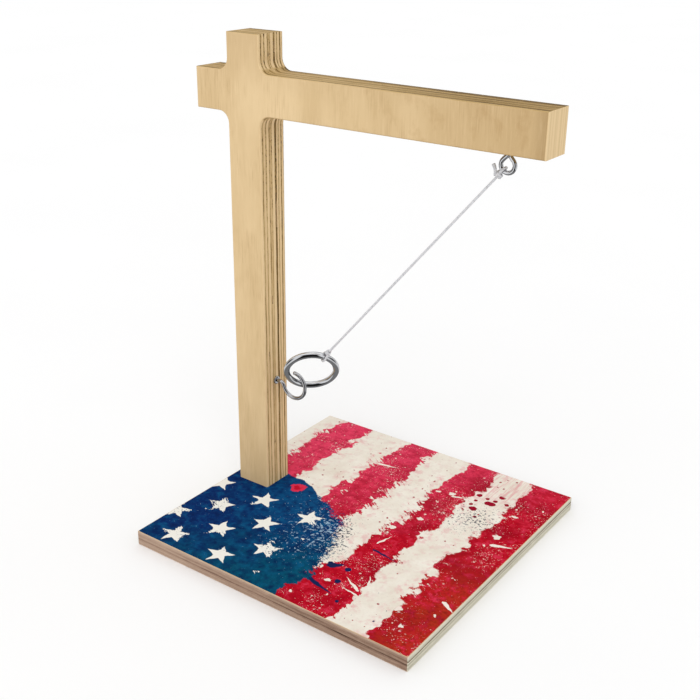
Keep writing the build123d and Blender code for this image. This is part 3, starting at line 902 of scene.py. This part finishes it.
def braid(line, side, radius=CORD_RADIUS, closed=False, ends=(0.0, 0.0), frayed=0.0):
    """Eight flat strands over a core, four each way, each over one and under the next."""
    u, v = carried(line, side, closed)
    along = distances(line)
    lay = STRAND_LAY
    if closed:
        around = along[-1] + np.linalg.norm(line[0] - line[-1])
        lay = around / max(1, round(around / STRAND_LAY))
    turn = 2 * math.pi * along / lay
    crossing = (2 * turn - math.pi / STRANDS) / (2 * math.pi / STRANDS)
    size = rounded_ends(line, ends)
    if frayed:
        size = size * (1 + 0.45 * np.clip(1 - (along[-1] - along) / frayed, 0, 1))
    parts = [sweep(line, u, v, circle(12)[None] * (radius - CORE_SUNK) * size[:, None, None], closed)]
    section = circle(6) * np.array([STRAND_WIDE, STRAND_THICK])
    for way in (1, -1):
        for k in range(STRANDS):
            angle = way * turn + 2 * math.pi * k / STRANDS + (math.pi / STRANDS if way < 0 else 0)
            out = np.cos(angle)[:, None] * u + np.sin(angle)[:, None] * v
            depth = (radius - STRAND_THICK - WEAVE + WEAVE * way * np.cos(math.pi * crossing)) * size
            centre = line + out * depth[:, None]
            forward = unit(np.gradient(centre, axis=0))
            wide = unit(np.cross(forward, out))
            outward = np.cross(wide, forward)
            parts.append(sweep(centre, wide, outward, section[None] * size[:, None, None], closed))
    return joined(parts)


def read_route(name, controls):
    """Points along the smooth curve that has these control points."""
    curve = bpy.data.curves.new(name, "CURVE")
    curve.dimensions = "3D"
    curve.resolution_u = 48
    spline = curve.splines.new("NURBS")
    spline.points.add(len(controls) - 1)
    for point, control in zip(spline.points, controls):
        point.co = (*control, 1)
    spline.order_u = 3
    spline.use_endpoint_u = True
    holder = bpy.data.objects.new(name, curve)
    mesh = bpy.data.meshes.new_from_object(holder)
    points = [vertex.co.copy() for vertex in mesh.vertices]
    bpy.data.meshes.remove(mesh)
    bpy.data.objects.remove(holder)
    bpy.data.curves.remove(curve)
    return points


def cord_piece(name, parts, material, body, node):
    piece = mesh_piece(name, *joined(parts), material)
    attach(piece, body)
    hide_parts(node)
    return piece


# How far down the cord from the eye's wire each of its route's points lies
CORD_ROUTE = (8.85, 20.0, 200.8, 212.05)


def make_cord(material):
    controls = [LOOPED - PULL * (reach * MM) for reach in CORD_ROUTE]
    line = spaced(read_route("cord_route", controls), CORD_STEP)
    return cord_piece("cord_braided_line", [braid(line, ACROSS)], material, "cord", "cord_line"), line


def local_path(origin, axes, points):
    """A smooth line through points given in mm along three axes from an origin."""
    controls = []
    for point in points:
        steps = (axis * (value * MM) for axis, value in zip(axes, point))
        controls.append(origin + sum(steps, Vector()))
    return spaced(read_route("knot_route", controls), CORD_STEP)


def wraps(radius, top, bottom, turns, start, per_turn=8):
    """A helix's points round the first axis, from its top to its bottom."""
    count = max(3, round(turns * per_turn)) + 1
    found = []
    for i in range(count):
        share = i / (count - 1)
        angle = math.radians(start + 360 * turns * share)
        found.append((top + (bottom - top) * share, radius * math.cos(angle), radius * math.sin(angle)))
    return found


def make_eye_turn(material):
    radius = WIRE_RADIUS + CORD_GAP + CORD_RADIUS
    ring = arc(LOOPED, radius, PULL, ACROSS, 0, 360, CORD_STEP)[:-1]
    line = np.array([tuple(p) for p in ring])
    parts = [braid(line, PULL, closed=True)]
    return cord_piece("cord_eye_turn", parts, material, "eye_loop", "cord_eye_loop")


def make_eye_knot(material):
    """Two legs come down from the turn. One goes on down the cord, the other wraps both and ends free."""
    axes = (PULL, ACROSS, BESIDE)
    down = [(0.2, -2.6, 0), (-1.4, -2.4, 0), (-2.8, -1.3, 0), (-4.2, -0.5, 0), (-6.0, -0.2, 0), (-9.4, 0, 0)]
    back = [(0.2, 2.6, 0), (-1.2, 2.4, 0.2), (-2.2, 2.1, 0.8)]
    coil = wraps(1.9, -2.7, -6.0, 2.2, 50)
    tail = [(-5.4, -1.2, 1.9), (-4.4, -1.5, 2.5), (-3.2, -1.5, 3.6), (-2.2, -1.4, 5.2), (-1.4, -1.3, 7.4)]
    standing = local_path(LOOPED, axes, down)
    working = local_path(LOOPED, axes, back + coil + tail)
    fuller = 1.05 * CORD_RADIUS
    parts = [
        braid(standing, BESIDE),
        braid(working, BESIDE, radius=fuller, ends=(0, MELTED), frayed=FRAYED),
    ]
    return cord_piece("cord_eye_tied_knot", parts, material, "cord", "cord_eye_knot")


def make_ring_tie(material):
    """The cord comes down through a small knot, goes once round the tube, and ends in the ring's hole."""
    axes = (PULL, RING_NORMAL, RING_TANGENT)
    reach = (RING_TUBE + CORD_GAP + CORD_RADIUS) / MM
    down = [(9.3, 0, 0), (7.4, 0.1, 0), (5.6, 0.7, 0), (3.9, 2.2, 0)]
    turns = [math.radians(degrees) for degrees in range(50, 320, 30)]
    round_tube = [(reach * math.cos(a), reach * math.sin(a), 0) for a in turns]
    coil = wraps(1.5, 4.9, 7.2, 1.6, 230)
    tail = [(6.4, 1.7, 0.9), (5.6, 2.6, 1.9), (4.9, 3.3, 3.2)]
    line = local_path(TIED, axes, down + round_tube + [(4.4, -1.4, 0.4)] + coil + tail)
    parts = [braid(line, RING_TANGENT, radius=0.9 * CORD_RADIUS, ends=(0, MELTED))]
    return cord_piece("cord_ring_tied_knot", parts, material, "ring_tie", "cord_ring_tie")


# ---------------------------------------------------------------- metal pieces

WIRE_STEP = 0.3 * MM
WIRE_SIDES = 32
RING_STEPS = 320
RING_SIDES = 48
# The collar's shape: how far out from the post, and its radius there
COLLAR = ((0.05, 3.0), (0.06, 3.2), (0.3, 3.3), (0.8, 3.3), (1.1, 3.15), (1.25, 2.8), (1.3, 1.4))


def wire(points, side, ends):
    """A round wire along points. ends is how far each end tapers to a rounded tip."""
    line = spaced(points, WIRE_STEP)
    u, v = carried(line, side)
    radii = WIRE_RADIUS * rounded_ends(line, ends)
    return sweep(line, u, v, circle(WIRE_SIDES)[None] * radii[:, None, None])


def metal_piece(name, parts, material, body, node):
    piece = mesh_piece(name, *joined(parts), material)
    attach(piece, body)
    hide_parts(node)


def make_ring(material):
    angles = np.linspace(0, 2 * math.pi, RING_STEPS, endpoint=False)
    centre = TIED - PULL * RING_RADIUS
    outward = [PULL * math.cos(angle) + RING_TANGENT * math.sin(angle) for angle in angles]
    line = np.array([tuple(centre + way * RING_RADIUS) for way in outward])
    u, v = carried(line, RING_NORMAL, closed=True)
    parts = [sweep(line, u, v, circle(RING_SIDES) * RING_TUBE, closed=True)]
    metal_piece("steel_ring", parts, material, "ring", "toss_ring")


def make_hook(material):
    reach = HOOK_AT.x - HOOK_STRAIGHT_END
    bend = (reach**2 - HOOK_RADIUS**2) / (2 * HOOK_RADIUS)
    straight_end = Vector((HOOK_STRAIGHT_END, 0, HOOK_AT.z))
    bend_centre = straight_end - UP * bend
    turned = math.degrees(math.atan2(reach, bend))
    meets = math.degrees(math.atan2(-bend, -reach)) + 360
    points = [Vector((POST_RIGHT - HOOK_IN_WOOD, 0, HOOK_AT.z)), straight_end]
    points += arc(bend_centre, bend, ALONG_ARM, UP, 90, 90 - turned, WIRE_STEP)[1:]
    points += arc(HOOK_AT, HOOK_RADIUS, ALONG_ARM, UP, meets, 360 + HOOK_TIP_ANGLE, WIRE_STEP)[1:]
    collar_line = np.array([[POST_RIGHT + out * MM, 0, HOOK_AT.z] for out, _ in COLLAR])
    u, v = carried(collar_line, ACROSS)
    sizes = np.array([radius for _, radius in COLLAR]) * MM
    collar = sweep(collar_line, u, v, circle(WIRE_SIDES)[None] * sizes[:, None, None])
    parts = [wire(points, ACROSS, (4 * MM, 1.0 * MM)), collar]
    metal_piece("steel_screw_hook", parts, material, "hook", "screw_hook")


def make_eye(material):
    """The wire comes down out of the wood, goes round, and comes up to meet itself: a pear-shaped eye."""
    top = Vector((EYE.x, 0, ARM_UNDER + EYE_IN_WOOD))
    neck = Vector((EYE.x, 0, ARM_UNDER - 0.4 * MM))
    loop = arc(EYE, EYE_RADIUS, ALONG_ARM, UP, 135, 405, WIRE_STEP)
    lead = loop[0] + (loop[0] - loop[1]).normalized() * (2.2 * MM)
    loop.append(loop[-1] + (loop[-1] - loop[-2]).normalized() * (3.4 * MM))
    shoulder = read_route("eye_shoulder", [neck, neck - UP * (2.4 * MM), lead, loop[0]])
    parts = [wire([top, neck] + shoulder[1:] + loop[1:], ACROSS, (3.5 * MM, 0.3 * MM))]
    metal_piece("steel_screw_eye", parts, material, "stand", "screw_eye")


# ---------------------------------------------------------------- the scene

FLOOR_HALF = 20.0


def give(node, material):
    """A CAD node keeps its shape and gets this material."""
    mesh = frame["nodes"][node].data
    mesh.materials.clear()
    mesh.materials.append(material)


def make_floor():
    corners = [(x * FLOOR_HALF, y * FLOOR_HALF, 0) for x, y in ((-1, -1), (1, -1), (1, 1), (-1, 1))]
    floor = mesh_piece("studio_floor", corners, [(0, 1, 2, 3)], floor_material(), smooth=False)
    floor.visible_glossy = False


make_camera()
make_floor()
make_world()
make_light("key", KEY_FROM, KEY_POWER, KEY_SPREAD)

cord_paint = cord_material()
cord_run, cord_line = make_cord(cord_paint)
knots = [make_eye_turn(cord_paint), make_eye_knot(cord_paint), make_ring_tie(cord_paint)]

make_ring(metal("chrome", (206, 207, 210), 0.07, 0.002))
make_hook(metal("nickel_wire", (178, 178, 181), 0.09, 0.004))
make_eye(metal("zinc_wire", (216, 217, 220), 0.12, 0.004))
give("post_arm", post_plywood())
give("base_board", board_plywood())
give("base_print", printed_sheet())
for node in ("base_board", "base_print"):
    frame["nodes"][node].visible_glossy = False
give("base_screws", metal("screw_steel", (186, 184, 176), 0.3, 0.006))

bpy.context.scene.view_settings.view_transform = "Standard"
